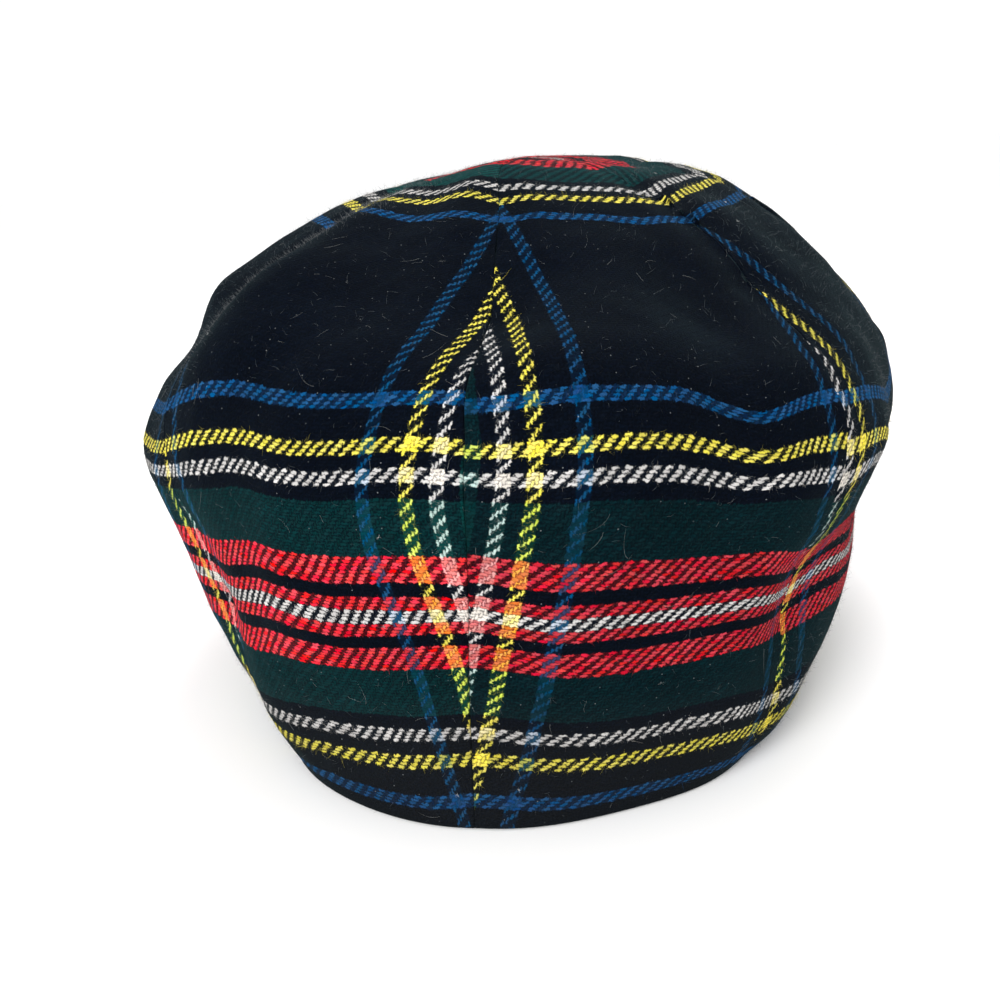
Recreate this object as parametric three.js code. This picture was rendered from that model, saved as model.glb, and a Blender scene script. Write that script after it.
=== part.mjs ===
// Cabbie cap: a full, soft crown sewn from eight cloth gores, with a short stiff peak at the front.
// Millimetres, +Z up. The lower edge (rim) lies on z = 0, the back faces -Y and the peak points to +Y.
// The origin is under the middle of the cap's box, on the surface it rests on.
import * as THREE from 'three';

// ---------------------------------------------------------------- driving sizes
const GORE_LENGTH = 253; // rim to apex along the middle of a gore
const CLOTH = 1.8; // wall thickness of the milled wool
const HEM = 3.0; // wall thickness where the lower edge is turned under
const HEM_DEPTH = 18; // height of the turned-under edge
const HEM_FADE = 6; // the step from hem to single cloth
const SEAM_GAP = 0.3; // clearance between neighbouring gores
const SEAM_PULL_DEG = 7; // half-width of the furrow that a seam pulls into the cloth
const RIM_FADE = 12; // furrows and slides fade out over this height above the rim, and the cloth's edge turns level
const TIP_SHORT = 1.2; // each gore's tip stops this far short of the apex
const GORE_ACROSS = 10; // facets across a gore
const GORE_ALONG = 22; // facets along a gore

const PEAK_REACH = 56; // how far the peak stands out at its middle
const PEAK_END = 3; // what is left of that at its two ends
const PEAK_HALF_DEG = 58.5; // half the stretch of rim that carries the peak
const PEAK_RISE = 9; // how much the front edge arches up at its middle
const PEAK_LOW = 0.5; // clearance of the peak's root above the surface
const PEAK_GAP = 0.5; // clearance between the peak's root and the rim
const PEAK_ROOT = 4.0; // thickness where it is sewn on
const PEAK_EDGE = 3.2; // thickness just inside its outer edge
const PEAK_ROUND = 0.9; // how much the outer edge is rounded, above and below
const PEAK_FORWARD = 0.7; // 0: the peak fans out square to the rim, 1: straight ahead (at its ends it always fans out)
const PEAK_ACROSS = 26;
const PEAK_STEPS = [0, 0.2, 0.4, 0.6, 0.8, 0.95, 1];

// ---------------------------------------------------------------- the crown's sections, from the rim to the apex
// at: mm of cloth above the rim.  half_width, back, front: how far the section reaches sideways, backwards and forwards.
// z_back, z_side, z_front: its height there.  corner: 0 is a round section, 1 an eight-sided one with its corners on the seams.
// furrow: how deep the seams are pulled in.  shift: sideways offset.  twist: degrees that the crown is turned on the rim.
const SECTIONS = [
  { at: 0, half_width: 80.1, back: 117.7, front: 101.9, z_back: 0, z_side: 0, z_front: 0, corner: -0.04, furrow: 0.8, shift: -0.1, twist: 1.9 },
  { at: 27, half_width: 98.5, back: 114.6, front: 114, z_back: 27.2, z_side: 17, z_front: 23.7, corner: -0.28, furrow: 0.7, shift: 0, twist: 1.9 },
  { at: 60, half_width: 112, back: 118.8, front: 132.3, z_back: 59.4, z_side: 46.3, z_front: 51.6, corner: -0.06, furrow: 3.3, shift: 0.5, twist: 2.8 },
  { at: 95, half_width: 124.1, back: 110, front: 139.9, z_back: 93.1, z_side: 77.3, z_front: 86, corner: 0.08, furrow: 1.8, shift: 0.2, twist: 2.5 },
  { at: 113, half_width: 118.4, back: 100, front: 142.1, z_back: 107.7, z_side: 93.1, z_front: 104, corner: 0.22, furrow: 1.7, shift: 0.7, twist: 2.5 },
  { at: 142, half_width: 101.7, back: 75.6, front: 132.1, z_back: 121.9, z_side: 114.9, z_front: 130.6, corner: 0.42, furrow: 4.3, shift: 1.1, twist: 2.7 },
  { at: 188, half_width: 66.2, back: 35.9, front: 94.6, z_back: 143.6, z_side: 143.3, z_front: 153, corner: 0.8, furrow: 3.4, shift: 1.4, twist: 0.6 },
  { at: 222, half_width: 32.2, back: 3.4, front: 60.3, z_back: 153.8, z_side: 150.5, z_front: 155, corner: 1, furrow: 0.5, shift: 1.5, twist: -3.6 },
  { at: 253, half_width: 0, back: -28.5, front: 28.5, z_back: 154.6, z_side: 154.6, z_front: 154.6, corner: 1, furrow: 0, shift: 1.5, twist: -3.6 },
];

// ---------------------------------------------------------------- dents, puffs and folds
// angle: degrees round the cap from the centre-back seam, positive to the wearer's right.  at: mm above the rim.
// half_angle, half_length: its reach round the cap and up it.  depth: inwards (a puff is negative).  sag: how far the cloth has slid down.
const FOLDS = [
  { name: 'right back dimple', angle: 32.5, at: 132.7, half_angle: 7.5, half_length: 42, depth: 1.7, sag: 9 },
  { name: 'left back puff', angle: -16.9, at: 94.4, half_angle: 9, half_length: 45, depth: -6.4, sag: 7.7 },
  { name: 'right seam drop', angle: 45.4, at: 76.9, half_angle: 9, half_length: 27, depth: -1.2, sag: 8.6 },
  { name: 'right side hollow', angle: 73.7, at: 86.1, half_angle: 16, half_length: 35, depth: 10.9, sag: 7.3 },
  { name: 'left side drop', angle: -53.9, at: 103.4, half_angle: 16, half_length: 35, depth: -2.3, sag: 4.6 },
  { name: 'left lower puff', angle: -38.4, at: 24.7, half_angle: 15, half_length: 28, depth: -3.9, sag: 1.6 },
  { name: 'right lower puff', angle: 45.3, at: 13.7, half_angle: 16, half_length: 28, depth: -9.8, sag: -0.8 },
  { name: 'right back puff', angle: 9.6, at: 106.6, half_angle: 13, half_length: 32, depth: -8.4, sag: 3.7 },
  { name: 'left back lift', angle: -19.1, at: 70.5, half_angle: 13, half_length: 32, depth: -3.8, sag: -9.5 },
  { name: 'left ridge', angle: -35.2, at: 140, half_angle: 13, half_length: 36, depth: -14.5, sag: 1.3 },
  { name: 'top lift', angle: -2.5, at: 190.6, half_angle: 13, half_length: 30, depth: -2.5, sag: -5.9 },
  { name: 'left side puff', angle: -65.4, at: 151.6, half_angle: 12, half_length: 30, depth: -7.5, sag: 2.1 },
  { name: 'right seam tuck', angle: 52.5, at: 54.9, half_angle: 9, half_length: 25, depth: 3.4, sag: -0.7 },
  { name: 'left fore dimple', angle: -108, at: 122, half_angle: 11, half_length: 36, depth: 5, sag: 3 },
  { name: 'right fore dimple', angle: 116, at: 118, half_angle: 10, half_length: 38, depth: 4, sag: 4 },
  { name: 'left front dimple', angle: -150, at: 126, half_angle: 9, half_length: 34, depth: 5, sag: 3 },
  { name: 'right front dimple', angle: 161, at: 112, half_angle: 10, half_length: 40, depth: 4, sag: 2 },
  { name: 'left side tuck', angle: -98, at: 44, half_angle: 10, half_length: 22, depth: 4, sag: 0 },
  { name: 'right fore tuck', angle: 128, at: 40, half_angle: 11, half_length: 22, depth: 3, sag: 0 },
];

// Gores in order round the cap from the centre-back seam, with the cloth's colour as it reads from a distance.
const GORES = [
  'gore_back_right', 'gore_side_right', 'gore_fore_right', 'gore_front_right',
  'gore_front_left', 'gore_fore_left', 'gore_side_left', 'gore_back_left',
];
const CLOTH_COLOUR = 0x1a2530;
const PEAK_COLOUR = 0x1c2832;

// ---------------------------------------------------------------- helpers
const RAD = Math.PI / 180;
const GORE_ANGLE = (2 * Math.PI) / GORES.length;
const clamp = (x, low, high) => Math.min(high, Math.max(low, x));
const smooth = (x) => { const t = clamp(x, 0, 1); return t * t * (3 - 2 * t); };
const wrap = (a, span) => a - span * Math.floor(a / span);

// A smooth curve through one column of the sections table.
function columnCurve(key) {
  const x = SECTIONS.map((s) => s.at), y = SECTIONS.map((s) => s[key]), last = x.length - 1;
  const h = x.slice(1).map((b, i) => b - x[i]);
  const d = h.map((w, i) => (y[i + 1] - y[i]) / w);
  const m = y.map((_, i) => (i > 0 && i < last ? (d[i - 1] * h[i] + d[i] * h[i - 1]) / (h[i - 1] + h[i]) : 0));
  m[0] = 1.5 * d[0] - 0.5 * m[1];
  m[last] = 1.5 * d[last - 1] - 0.5 * m[last - 1];
  return (v) => {
    let i = 0;
    while (i < last - 1 && v >= x[i + 1]) i += 1;
    const t = (v - x[i]) / h[i], t2 = t * t, t3 = t2 * t;
    return (2 * t3 - 3 * t2 + 1) * y[i] + (t3 - 2 * t2 + t) * h[i] * m[i] + (3 * t2 - 2 * t3) * y[i + 1] + (t3 - t2) * h[i] * m[i + 1];
  };
}
const column = Object.fromEntries(Object.keys(SECTIONS[0]).filter((k) => k !== 'at').map((k) => [k, columnCurve(k)]));

// The crown without folds: angle round the cap, millimetres of cloth above the rim.
function form(angle, v) {
  const off = wrap(angle, GORE_ANGLE) - GORE_ANGLE / 2;
  const corner = 1 + column.corner(v) * (Math.sqrt(Math.cos(GORE_ANGLE / 2)) / Math.cos(off) - 1);
  const a = angle + column.twist(v) * RAD, c = Math.cos(a), s = Math.sin(a);
  const back = column.back(v), front = column.front(v), zb = column.z_back(v), zs = column.z_side(v), zf = column.z_front(v);
  return new THREE.Vector3(
    column.shift(v) + column.half_width(v) * s * corner,
    (front - back) / 2 - ((front + back) / 2) * c * corner,
    (zb + zf + 2 * zs) / 4 + ((zb - zf) / 2) * c + ((zb + zf - 2 * zs) / 4) * Math.cos(2 * a),
  );
}

// Outward normal, and the directions round and up the cap, of that form.
function frameAt(angle, v) {
  const w = clamp(v, 3, GORE_LENGTH - 5), e = 0.004, f = 0.6;
  const round = form(angle + e, w).sub(form(angle - e, w)).normalize();
  const up = form(angle, w + f).sub(form(angle, w - f)).normalize();
  return { round, up, normal: new THREE.Vector3().crossVectors(round, up).normalize() };
}

// The way through the cloth: square to it, and level at the rim so that the lower edge is flat.
function through(angle, v) {
  const n = frameAt(angle, v).normal;
  n.z *= smooth(v / RIM_FADE);
  return n.normalize();
}

// The outer face of the cloth, with seam furrows and folds.
function skin(angle, v) {
  const fade = clamp(v / RIM_FADE, 0, 1);
  const fromSeam = (wrap(angle + GORE_ANGLE / 2, GORE_ANGLE) - GORE_ANGLE / 2) / RAD;
  let out = -column.furrow(v) * Math.exp(-((fromSeam / SEAM_PULL_DEG) ** 2)) * fade, sag = 0;
  for (const f of FOLDS) {
    const d = wrap(angle / RAD - f.angle + 180, 360) - 180;
    const g = Math.exp(-((d / f.half_angle) ** 2) - ((v - f.at) / f.half_length) ** 2);
    out -= f.depth * g;
    sag += f.sag * g;
  }
  return form(angle, v).addScaledVector(through(angle, v), out).addScaledVector(frameAt(angle, v).up, -sag * fade);
}

// A point low on the cloth's outer face, on the flat facets next to the rim.
const FACET = (GORE_LENGTH - TIP_SHORT) / GORE_ALONG;
const nearRim = (angle, v) => skin(angle, 0).lerp(skin(angle, FACET), v / FACET);

// One closed body between an upper and a lower grid of points with the same rows and columns.
function sheetBody(upper, lower) {
  const points = [], index = [], known = new Map();
  const id = (p) => {
    const key = [p.x, p.y, p.z].map((c) => Math.round(c * 1e5)).join(' ');
    if (!known.has(key)) { known.set(key, points.length / 3); points.push(p.x, p.y, p.z); }
    return known.get(key);
  };
  const tri = (a, b, c) => { if (a !== b && b !== c && a !== c) index.push(a, b, c); };
  const quad = (a, b, c, d) => { tri(a, b, c); tri(a, c, d); };
  const U = upper.map((row) => row.map(id)), L = lower.map((row) => row.map(id));
  const rows = U.length - 1, cols = U[0].length - 1;
  for (let i = 0; i < rows; i += 1) {
    for (let j = 0; j < cols; j += 1) {
      quad(U[i][j], U[i][j + 1], U[i + 1][j + 1], U[i + 1][j]);
      quad(L[i][j], L[i + 1][j], L[i + 1][j + 1], L[i][j + 1]);
    }
    quad(U[i][0], U[i + 1][0], L[i + 1][0], L[i][0]);
    quad(U[i][cols], L[i][cols], L[i + 1][cols], U[i + 1][cols]);
  }
  for (let j = 0; j < cols; j += 1) {
    quad(L[0][j], L[0][j + 1], U[0][j + 1], U[0][j]);
    quad(U[rows][j], U[rows][j + 1], L[rows][j + 1], L[rows][j]);
  }
  const body = new THREE.BufferGeometry();
  body.setAttribute('position', new THREE.Float32BufferAttribute(points, 3));
  body.setIndex(index);
  return body;
}

// ---------------------------------------------------------------- one gore
function gore(k) {
  const outer = [], inner = [];
  for (let i = 0; i <= GORE_ALONG; i += 1) {
    const v = FACET * i;
    const thick = CLOTH + (HEM - CLOTH) * smooth((HEM_DEPTH + HEM_FADE - v) / HEM_FADE);
    const o = [], n = [];
    for (let j = 0; j <= GORE_ACROSS; j += 1) {
      const tip = i === GORE_ALONG; // the tip is a single point on the gore's middle
      const angle = GORE_ANGLE * (k + (tip ? 0.5 : j / GORE_ACROSS));
      const p = skin(angle, v);
      const inset = tip ? 0 : j === 0 ? SEAM_GAP / 2 : j === GORE_ACROSS ? -SEAM_GAP / 2 : 0;
      const aside = frameAt(angle, v).round;
      if (i === 0) aside.z = 0;
      p.addScaledVector(aside, inset);
      o.push(p);
      n.push(p.clone().addScaledVector(through(angle, v), -thick));
    }
    outer.push(o);
    inner.push(n);
  }
  return sheetBody(outer, inner);
}

// ---------------------------------------------------------------- the peak
function peak() {
  const top = [], bottom = [];
  for (const s of PEAK_STEPS) {
    const t = [], b = [];
    for (let i = 0; i <= PEAK_ACROSS; i += 1) {
      const f = 1 - (2 * i) / PEAK_ACROSS; // from the wearer's left end to the right one
      const angle = Math.PI + f * PEAK_HALF_DEG * RAD;
      const square = through(angle, 0);
      const low = nearRim(angle, PEAK_LOW).addScaledVector(square, PEAK_GAP);
      const high = nearRim(angle, PEAK_LOW + PEAK_ROOT).addScaledVector(square, PEAK_GAP);
      const forward = PEAK_FORWARD * (1 - f ** 4);
      const ahead = square.multiplyScalar(1 - forward).add(new THREE.Vector3(0, forward, 0)).normalize();
      const reach = PEAK_END + (PEAK_REACH - PEAK_END) * (1 - Math.abs(f) ** 2.4) ** 0.8;
      const arch = PEAK_RISE * (1 - f * f) * s * (1.25 - 0.25 * s);
      const thin = (PEAK_ROOT - PEAK_EDGE) * s, edge = s === 1 ? PEAK_ROUND : 0;
      const lift = new THREE.Vector3(0, 0, arch);
      t.push(high.addScaledVector(ahead, reach * s - (edge ? 0.2 : 0)).add(lift).add(new THREE.Vector3(0, 0, -thin - edge)));
      b.push(low.addScaledVector(ahead, reach * s - (edge ? 0.2 : 0)).add(lift).add(new THREE.Vector3(0, 0, edge)));
    }
    top.push(t);
    bottom.push(b);
  }
  return sheetBody(top, bottom);
}

// ---------------------------------------------------------------- assembly
function piece(name, geometry, color) {
  const mesh = new THREE.Mesh(geometry, new THREE.MeshStandardMaterial({ color, roughness: 0.95, metalness: 0, flatShading: true }));
  mesh.name = name;
  return mesh;
}

const cap = new THREE.Group();
cap.name = 'cabbie_cap';
GORES.forEach((name, k) => cap.add(piece(name, gore(k), CLOTH_COLOUR)));
cap.add(piece('peak', peak(), PEAK_COLOUR));

// Put the origin under the middle of the cap's box.
const middle = new THREE.Box3().setFromObject(cap).getCenter(new THREE.Vector3());
cap.children.forEach((mesh) => mesh.geometry.translate(-middle.x, -middle.y, 0));

export default cap;
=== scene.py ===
import math

import bpy
import numpy as np
from mathutils import Matrix, Vector


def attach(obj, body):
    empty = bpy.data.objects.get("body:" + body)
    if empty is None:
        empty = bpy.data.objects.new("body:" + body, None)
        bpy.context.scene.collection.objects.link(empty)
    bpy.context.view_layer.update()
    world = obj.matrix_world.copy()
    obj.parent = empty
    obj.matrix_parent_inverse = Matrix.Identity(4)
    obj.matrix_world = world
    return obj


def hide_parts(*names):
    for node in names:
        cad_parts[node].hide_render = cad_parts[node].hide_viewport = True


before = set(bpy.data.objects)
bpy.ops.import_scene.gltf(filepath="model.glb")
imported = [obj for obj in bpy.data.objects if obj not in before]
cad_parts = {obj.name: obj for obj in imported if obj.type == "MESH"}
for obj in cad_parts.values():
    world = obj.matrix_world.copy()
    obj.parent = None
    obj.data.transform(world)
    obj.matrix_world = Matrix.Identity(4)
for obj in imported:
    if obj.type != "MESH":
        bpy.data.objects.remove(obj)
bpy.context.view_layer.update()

# ------------------------------------------------------------------ sizes, in millimetres
MM = 0.001
RAD = math.pi / 180
GORE_ANGLE = math.pi / 4
GORE_LENGTH = 253.0
CLOTH = 1.8
HEM = 3.0
HEM_DEPTH = 18.0
SEAM_PULL_DEG = 7.0
RIM_FADE = 12.0
SEAM_GAP = 0.06          # what is left between two gores at the seam
SEAM_ROLL = 0.85         # how far from the seam the cloth starts to turn in
MIDDLE = (-0.898, 18.692) # the middle of the cap's box, before the origin is put under it

SECTIONS = np.array([
    # at, half_width, back, front, z_back, z_side, z_front, corner, furrow, shift, twist
    (0, 80.1, 117.7, 101.9, 0, 0, 0, -0.04, 0.8, -0.1, 1.9),
    (27, 98.5, 114.6, 114, 27.2, 17, 23.7, -0.28, 0.7, 0, 1.9),
    (60, 112, 118.8, 132.3, 59.4, 46.3, 51.6, -0.06, 3.3, 0.5, 2.8),
    (95, 124.1, 110, 139.9, 93.1, 77.3, 86, 0.08, 1.8, 0.2, 2.5),
    (113, 118.4, 100, 142.1, 107.7, 93.1, 104, 0.22, 1.7, 0.7, 2.5),
    (142, 101.7, 75.6, 132.1, 121.9, 114.9, 130.6, 0.42, 4.3, 1.1, 2.7),
    (188, 66.2, 35.9, 94.6, 143.6, 143.3, 153, 0.8, 3.4, 1.4, 0.6),
    (222, 32.2, 3.4, 60.3, 153.8, 150.5, 155, 1, 0.5, 1.5, -3.6),
    (253, 0, -28.5, 28.5, 154.6, 154.6, 154.6, 1, 0, 1.5, -3.6),
], float)
HALF_WIDTH, BACK, FRONT, Z_BACK, Z_SIDE, Z_FRONT, CORNER, FURROW, SHIFT, TWIST = range(10)

FOLDS = np.array([
    # angle, at, half_angle, half_length, depth, sag
    (32.5, 132.7, 7.5, 42, 1.7, 9),        # right back dimple
    (-16.9, 94.4, 9, 45, -6.4, 7.7),       # left back puff
    (45.4, 76.9, 9, 27, -1.2, 8.6),        # right seam drop
    (73.7, 86.1, 16, 35, 10.9, 7.3),       # right side hollow
    (-53.9, 103.4, 16, 35, -2.3, 4.6),     # left side drop
    (-38.4, 24.7, 15, 28, -3.9, 1.6),      # left lower puff
    (45.3, 13.7, 16, 28, -8.4, -0.8),      # right lower puff
    (9.6, 106.6, 13, 32, -8.4, 3.7),       # right back puff
    (-19.1, 70.5, 13, 32, -3.8, -9.5),     # left back lift
    (-35.2, 140, 13, 36, -14.5, 1.3),      # left ridge
    (-2.5, 190.6, 13, 30, -2.5, -5.9),     # top lift
    (-65.4, 151.6, 12, 30, -7.5, 2.1),     # left side puff
    (52.5, 54.9, 9, 25, 3.4, -0.7),        # right seam tuck
    (-64, 128, 12, 9, 2.6, 0),             # left side notch
    (-64, 147, 12, 9, -1.8, 0),            # left side fullness
    (-46, 195, 12, 14, -2.0, 0),           # left top fullness
    (97, 171, 7, 13, 2.2, 0),              # right top flat
    (-108, 122, 11, 36, 5, 3),             # left fore dimple
    (116, 118, 10, 38, 4, 4),              # right fore dimple
    (-150, 126, 9, 34, 5, 3),              # left front dimple
    (161, 112, 10, 40, 4, 2),              # right front dimple
    (-98, 44, 10, 22, 4, 0),               # left side tuck
    (128, 40, 11, 22, 3, 0),               # right fore tuck
], float)

GORES = (
    "gore_back_right", "gore_side_right", "gore_fore_right", "gore_front_right",
    "gore_front_left", "gore_fore_left", "gore_side_left", "gore_back_left",
)

# ------------------------------------------------------------------ the tartan
THREAD = 0.852           # from thread to thread, both ways
OVERHANG = 0.28          # how far the fluffy crosswise yarn spreads over its neighbours, in threads
HALF_SETT = 102          # threads from the middle of the wide black to the middle of the fine white
SETT = (
    # colour and threads, from the middle of the wide black outwards
    ("black", 40), ("blue", 4), ("black", 8), ("yellow", 4), ("black", 4), ("white", 4),
    ("black", 4), ("green", 16), ("red", 8), ("black", 4), ("red", 4), ("white", 2),
)
YARN = {
    "black": (0.0016, 0.0030, 0.0063),
    "blue": (0.004, 0.058, 0.160),
    "yellow": (0.90, 0.76, 0.095),
    "white": (0.68, 0.64, 0.59),
    "green": (0.002, 0.031, 0.030),
    "red": (0.70, 0.020, 0.031),
}
# the upright blue threads are buried deeper in the nap: left gores, right gores
LEFT_UPRIGHT, RIGHT_UPRIGHT = (0.003, 0.048, 0.118), (0.003, 0.046, 0.116)
# painted shade: the right gores turn away from the key light, so their green and red yarns are painted darker there
SHADED_RIGHT_YARN = dict(YARN, green=(0.0016, 0.0175, 0.0185), red=(0.49, 0.0175, 0.028))
BLACK_AT = 145.24        # height of the wide black's middle above the rim
LEFT_RAISE = 0.69        # the cloth of the left gores sits this much higher
# sideways place of the wide black's middle in each gore, from the back right one round to the back left one
CUT_AT = (-9.57, -3.6, -9.57, -9.57, 6.68, 6.68, 6.68, 6.68)
# where the seams at the back and at its right don't run straight up: height, degrees
SIDE_SEAM = ((0, 0), (60, 0), (90, 0.5), (115, 1.0), (150, 1.05), (185, 0.5), (215, 0), (253, 0))
BACK_SEAM = ((0, -0.9), (30, -1.0), (60, -0.8), (95, -0.25), (125, -0.2), (145, -0.3), (160, 0.1), (180, 0.8), (205, 0.4), (235, 0), (253, 0))
# how far the cloth was pulled askew as it was sewn, on a wide net over each gore: sideways, then upwards
NET_SIDE, NET_UP, NET_WIDE, NET_TALL = (-45, -15, 15, 45), (10, 45, 80, 115, 150, 190), 26.0, 32.0
PULLED = {
    0: (((0.8, -0.9, -0.1, 7.4), (1.0, -1.5, 0.5, 7.6), (0, -0.8, 1.3, 1.5), (0.5, -0.4, 0.3, -0.7), (-0.4, -0.8, 0.4, 1.3), (0.1, 0.2, 0, 0.1)),
        ((-1.1, 0.5, 0.9, -0.2), (-0.8, 1.3, -2.9, 0.1), (-0.2, -1.0, 4.1, -1.7), (0.6, -0.5, -2.3, 0.1), (-0.1, 0.1, 0.6, 0.5), (1.5, 2.6, 0.2, 0.1))),
    1: ((), ((0, 0, 0, 0), (0.3, 0.8, 1.0, 0.3), (0.8, 2.2, 2.5, 1.0), (0, 0, 0, 0), (0.4, 0.3, -0.4, -0.2), (0.6, 0.3, -1.3, -0.5))),
    6: ((), ((0, 0, 0, 0), (0, 0, 0, 0), (0, 0, 0, 0), (0, 0, 0, 0), (0, 0, 0, 0), (0, 0, -0.5, -0.5))),
    7: (((0, 0.1, 0.8, 0.1), (-0.2, -0.4, -1.4, 0.5), (-1.5, -2.4, 0.7, 0.4), (2.5, -2.5, 0.6, -0.6), (0.1, -0.9, 0.6, 0.2), (0, 0, 0.4, 0.3)),
        ((0.8, 1.2, 2.0, -1.5), (-0.3, -1.5, -1.5, -0.2), (0.3, 3.0, 1.7, 1.6), (-0.4, -1.7, -1.6, -1.5), (-0.1, -0.1, 1.4, 0.1), (-0.6, -2.0, 2.6, 1.3))),
}
# how far the weave of the side gores leans towards the seam beside the back gores: which way, from where on, and height and amount
LEANS = {
    1: (-1, 8, ((0, 5.0), (7, 3.8), (13, 1.0), (18, 0.0), (24, 0.3), (30, 1.4), (37, 2.4), (50, 2.5), (75, -0.5), (90, -2.5), (104, -4.0), (113, -5.6), (122, -5.6), (135, -5.1), (145, -4.4), (155, -3.6), (175, -2.5), (253, -2))),
    6: (1, -30, ((0, 0.5), (50, 0.8), (60, 0.6), (68, -0.6), (75, -1.4), (82, -4.0), (90, -8.5), (98, -13), (108, -16), (150, -16), (190, -12), (253, -8))),
}
# and where the back gores' cloth is drawn sideways along its middle: from the gore's middle line, how wide, by how much
DRAWN = {0: (28.0, 12.0, -7.0), 7: (10.0, 13.0, -4.0)}
TOP_FROM, TOP_LENGTH, TOP_STRETCH = 214.0, 20.0, 9.0  # near the top the cloth is drawn out by this much


def smooth(x):
    t = np.clip(x, 0, 1)
    return t * t * (3 - 2 * t)


# ------------------------------------------------------------------ the crown's surface
def columns(v):
    x, y = SECTIONS[:, 0], SECTIONS[:, 1:]
    h = np.diff(x)
    d = np.diff(y, axis=0) / h[:, None]
    m = np.zeros_like(y)
    m[1:-1] = (d[:-1] * h[1:, None] + d[1:] * h[:-1, None]) / (h[:-1] + h[1:])[:, None]
    m[0] = 1.5 * d[0] - 0.5 * m[1]
    m[-1] = 1.5 * d[-1] - 0.5 * m[-2]
    i = np.clip(np.searchsorted(x, v, side="right") - 1, 0, len(h) - 1)
    w = h[i][..., None]
    t = (v - x[i])[..., None] / w
    t2, t3 = t * t, t * t * t
    out = (2 * t3 - 3 * t2 + 1) * y[i] + (t3 - 2 * t2 + t) * w * m[i] + (3 * t2 - 2 * t3) * y[i + 1] + (t3 - t2) * w * m[i + 1]
    return np.moveaxis(out, -1, 0)


def form(angle, v):
    c = columns(v)
    off = np.mod(angle, GORE_ANGLE) - GORE_ANGLE / 2
    corner = 1 + c[CORNER] * (math.sqrt(math.cos(GORE_ANGLE / 2)) / np.cos(off) - 1)
    a = angle + c[TWIST] * RAD
    x = c[SHIFT] + c[HALF_WIDTH] * np.sin(a) * corner
    y = (c[FRONT] - c[BACK]) / 2 - (c[FRONT] + c[BACK]) / 2 * np.cos(a) * corner
    z = (c[Z_BACK] + c[Z_FRONT] + 2 * c[Z_SIDE]) / 4 + (c[Z_BACK] - c[Z_FRONT]) / 2 * np.cos(a) + (c[Z_BACK] + c[Z_FRONT] - 2 * c[Z_SIDE]) / 4 * np.cos(2 * a)
    return np.stack([x, y, z], -1)


def unit(a):
    return a / (np.linalg.norm(a, axis=-1, keepdims=True) + 1e-12)


def frame_at(angle, v):
    w, e, f = np.clip(v, 3, GORE_LENGTH - 5), 0.004, 0.6
    across = unit(form(angle + e, w) - form(angle - e, w))
    up = unit(form(angle, w + f) - form(angle, w - f))
    normal = unit(np.cross(across, up))
    normal[..., 2] *= smooth(v / RIM_FADE)
    return unit(normal), up


def skin(angle, v):
    """The cloth's outer face, with its folds, and the way out of it."""
    fade = np.clip(v / RIM_FADE, 0, 1)
    from_seam = (np.mod(angle + GORE_ANGLE / 2, GORE_ANGLE) - GORE_ANGLE / 2) / RAD
    out = -columns(v)[FURROW] * np.exp(-((from_seam / SEAM_PULL_DEG) ** 2)) * fade
    sag = np.zeros_like(out)
    for at_angle, at, half_angle, half_length, depth, slide in FOLDS:
        d = np.mod(angle / RAD - at_angle + 180, 360) - 180
        g = np.exp(-((d / half_angle) ** 2) - ((v - at) / half_length) ** 2)
        out -= depth * g
        sag += slide * g
    normal, up = frame_at(angle, v)
    p = form(angle, v) + normal * out[..., None] - up * (sag * fade)[..., None]
    p[..., 0] -= MIDDLE[0]
    p[..., 1] -= MIDDLE[1]
    return p, normal


def slide(seam, v):
    """How far a seam wanders off its straight line, as an angle."""
    table = {0: BACK_SEAM, 1: SIDE_SEAM}.get(seam % 8, ((0, 0),))
    return np.interp(v, *zip(*table)) * RAD


def pulled(k, side, up):
    """How far the weave of a gore lies off square, sideways and upwards."""
    moved = np.zeros((2,) + side.shape)
    for part, net in enumerate(PULLED.get(k, ())):
        for at_up, row in zip(NET_UP, net):
            for at_side, much in zip(NET_SIDE, row):
                moved[part] += much * np.exp(-((side - at_side) / NET_WIDE) ** 2 - ((up - at_up) / NET_TALL) ** 2)
    if k in LEANS:
        way, start, table = LEANS[k]
        at = np.arange(0, GORE_LENGTH + 1)
        weight = np.exp(-(np.arange(-18, 19) / 8.0) ** 2)
        even = np.convolve(np.pad(np.interp(at, *zip(*table)), 18, mode="edge"), weight / weight.sum(), "valid")
        moved[0] += np.interp(up, at, even) * smooth((way * side - start) / (38 - start))
    if k in DRAWN:
        at, wide, much = DRAWN[k]
        moved[0] += much * np.exp(-((side - at) / wide) ** 2) * smooth((up - 5) / 25) * smooth((150 - up) / 30)
    moved[1] -= TOP_STRETCH * smooth((up - TOP_FROM) / TOP_LENGTH)
    return moved


def ripple(p, seed, low, high, count):
    """A gentle unevenness of the cloth: a sum of waves with lengths from low to high, about 1 high."""
    rng = np.random.default_rng(seed)
    total = np.zeros(p.shape[:-1])
    for _ in range(count):
        k = unit(rng.normal(size=3)) * 2 * math.pi / rng.uniform(low, high)
        total += np.sin(p @ k + rng.uniform(0, 2 * math.pi))
    return total / math.sqrt(count)


# ------------------------------------------------------------------ meshes
def new_mesh(name, points, faces, smooth_faces=None):
    mesh = bpy.data.meshes.new(name)
    mesh.from_pydata((points * MM).tolist(), [], faces)
    flags = np.ones(len(mesh.polygons), bool) if smooth_faces is None else smooth_faces
    mesh.polygons.foreach_set("use_smooth", flags)
    obj = bpy.data.objects.new(name, mesh)
    bpy.context.scene.collection.objects.link(obj)
    return obj


def add_uv(obj, name, values):
    layer = obj.data.uv_layers.new(name=name, do_init=False)
    layer.uv.foreach_set("vector", np.ascontiguousarray(values, np.float32).ravel())


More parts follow.
